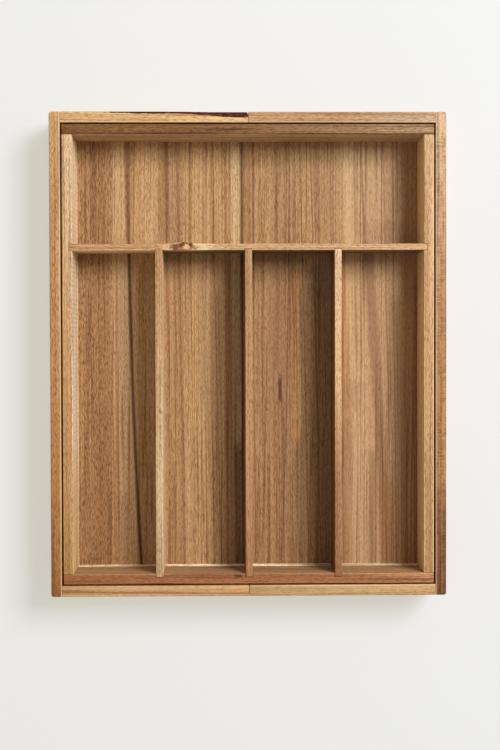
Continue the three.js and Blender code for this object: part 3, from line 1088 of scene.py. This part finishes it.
# %% Make the wings' boards
WING_CORNER = (176, 215)
WING_RADIUS = 2.2
WANE = dict(start=-70, end=-0.5, width=3.1)
BARK_END_RADIUS = 1.6
SEAM_FROM_MIDDLE = 0.15
SEAM_CLOSING = 0.35
GROOVE_START, GROOVE_MOUTH = 8.5, 168
GROOVE_FACE, GROOVE_DEPTH = 205, 208.8
GROOVE_LOW, GROOVE_HIGH = 27.2, 33.8
for wing, side in (("left_wing", -1), ("right_wing", 1)):
    corners = [(side * WING_CORNER[0], end * WING_CORNER[1], WING_RADIUS) for end in (-1, 1)]
    boards.append(board(wing + "_side_wall", wing, [wing + "_floor"], corners))
    for rail, end in (("_back_rail", 1), ("_front_rail", -1)):
        closed, mouth = side * GROOVE_START, side * GROOVE_MOUTH
        shallow, deep = end * GROOVE_FACE, end * GROOVE_DEPTH
        groove_low = Vector((min(closed, mouth), min(shallow, deep), GROOVE_LOW)) * MM
        groove_high = Vector((max(closed, mouth), max(shallow, deep), GROOVE_HIGH)) * MM
        waned = WANE if wing + rail == "left_wing_back_rail" else None
        ends = [(side * SEAM_FROM_MIDDLE, end * WING_CORNER[1], BARK_END_RADIUS)] if waned else []
        boards.append(board(
            wing + rail, wing, [wing + "_floor"], ends, waned=waned,
            groove=dict(low=groove_low, high=groove_high, closed_end=closed * MM),
            seam=side * SEAM_CLOSING))
print("boards", len(boards), "faces", sum(len(piece.data.polygons) for piece in boards))

# %% [markdown]
# ## Pieces that keep their CAD shape
# The floors are flat panels whose edges are hidden in other boards, and the runners are small and
# smooth. They could be rebuilt as boards too, but nothing of it would show, so they only get their wood.

# %% Finish the nodes that keep their CAD shape
def give_wood(node, material):
    """Gives a CAD node its wood."""
    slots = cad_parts[node].material_slots
    for slot in slots:
        slot.material = material


give_wood("tray_floor_left_board", woods["tray_floor_left"])
give_wood("tray_floor_right_board", woods["tray_floor_right"])
for node in ("runner_back_left", "runner_back_right", "runner_front_left", "runner_front_right"):
    give_wood(node, woods["runner"])
give_wood("left_wing_floor", woods["wing_floor"])
give_wood("right_wing_floor", woods["wing_floor"])
print("painted", [material.name for material in (woods["runner"], woods["wing_floor"])])

# %% [markdown]
# ## Floor and light
# The tray lies on a plain white surface under one large soft light, high on the right and a little
# towards the back, with light from all round to fill the shadows. The surface shows part of its
# brightness to the camera by itself, as an overexposed studio table does, which keeps the shadow pale.

# %% The surface below the tray
GLOW_SHARE = 0.545
FLOOR_TONE = tone(242, 241, 239)
# The glow is warm and the matt part cool, so the floor's pale shadow turns warm: painted warmth in place
# of light thrown off the wood.
FLOOR_GLOW = (1.0, 0.95, 0.81, 1)
FLOOR_MATT = (0.7, 0.75, 0.86, 1)
FLOOR_SIZE = 12
FLOOR_DROP = 0.1 * MM


def seen_from_camera(root):
    """1 on rays that bring a surface to the camera: straight, by a reflection or through glass."""
    camera_ray = root.node("ShaderNodeLightPath", output="Is Camera Ray")
    glossy_ray = camera_ray.beside("Is Glossy Ray")
    return camera_ray.most(glossy_ray).most(camera_ray.beside("Is Transmission Ray"))


bpy.ops.object.select_all(action="DESELECT")
bpy.ops.mesh.primitive_plane_add(size=FLOOR_SIZE, location=(0, 0, -FLOOR_DROP))
floor = bpy.context.object
floor.name = "studio_floor"
floor_material = bpy.data.materials.new("studio_white")
floor_material.use_nodes = True
floor_material.node_tree.nodes.clear()
floor_root = Signal(floor_material.node_tree)
seen = seen_from_camera(floor_root)
plain = floor_root.node("ShaderNodeBsdfDiffuse", sockets={"Color": FLOOR_TONE})
matt = floor_root.node("ShaderNodeBsdfDiffuse", sockets={"Color": FLOOR_MATT})
glow = floor_root.node("ShaderNodeEmission", sockets={"Color": FLOOR_GLOW, "Strength": 1.0})
shown = floor_root.node("ShaderNodeMixShader", sockets={0: GLOW_SHARE, 1: matt, 2: glow})
floor_shader = floor_root.node("ShaderNodeMixShader", sockets={0: seen, 1: plain, 2: shown})
floor_root.node("ShaderNodeOutputMaterial", sockets={"Surface": floor_shader})
floor.data.materials.append(floor_material)
print("floor", floor.name, "glow share", GLOW_SHARE)

# %% The light from all round
FILL_STRENGTH = 0.325
WHITE = (1, 1, 1, 1)

world = bpy.data.worlds.new("studio_fill")
bpy.context.scene.world = world
world.use_nodes = True
world.node_tree.nodes.clear()
world_root = Signal(world.node_tree)
seen = seen_from_camera(world_root)
fill = world_root.node("ShaderNodeBackground", sockets={"Color": WHITE, "Strength": FILL_STRENGTH})
backdrop = world_root.node("ShaderNodeBackground", sockets={"Color": FLOOR_TONE, "Strength": 1.0})
world_shader = world_root.node("ShaderNodeMixShader", sockets={0: seen, 1: fill, 2: backdrop})
world_root.node("ShaderNodeOutputWorld", sockets={"Surface": world_shader})
print("fill strength", FILL_STRENGTH)

# %% The soft light on the right
KEY_WATTS = 59
KEY_SIZE = (0.95, 1.05)
KEY_PLACE = Vector((1.2, 0.9, 2.1))

key_data = bpy.data.lights.new("key_softbox", "AREA")
key_data.energy = KEY_WATTS
key_data.shape = "RECTANGLE"
key_data.size, key_data.size_y = KEY_SIZE
key_axis = KEY_PLACE.normalized()
key_right = Vector((0, 1, 0)).cross(key_axis).normalized()
key_up = key_axis.cross(key_right)
key_turn = Matrix((key_right, key_up, key_axis)).transposed().to_4x4()
key = bpy.data.objects.new("key_softbox", key_data)
key.matrix_world = Matrix.Translation(KEY_PLACE) @ key_turn
bpy.context.scene.collection.objects.link(key)
print("key distance", round(KEY_PLACE.length, 2))

# %% [markdown]
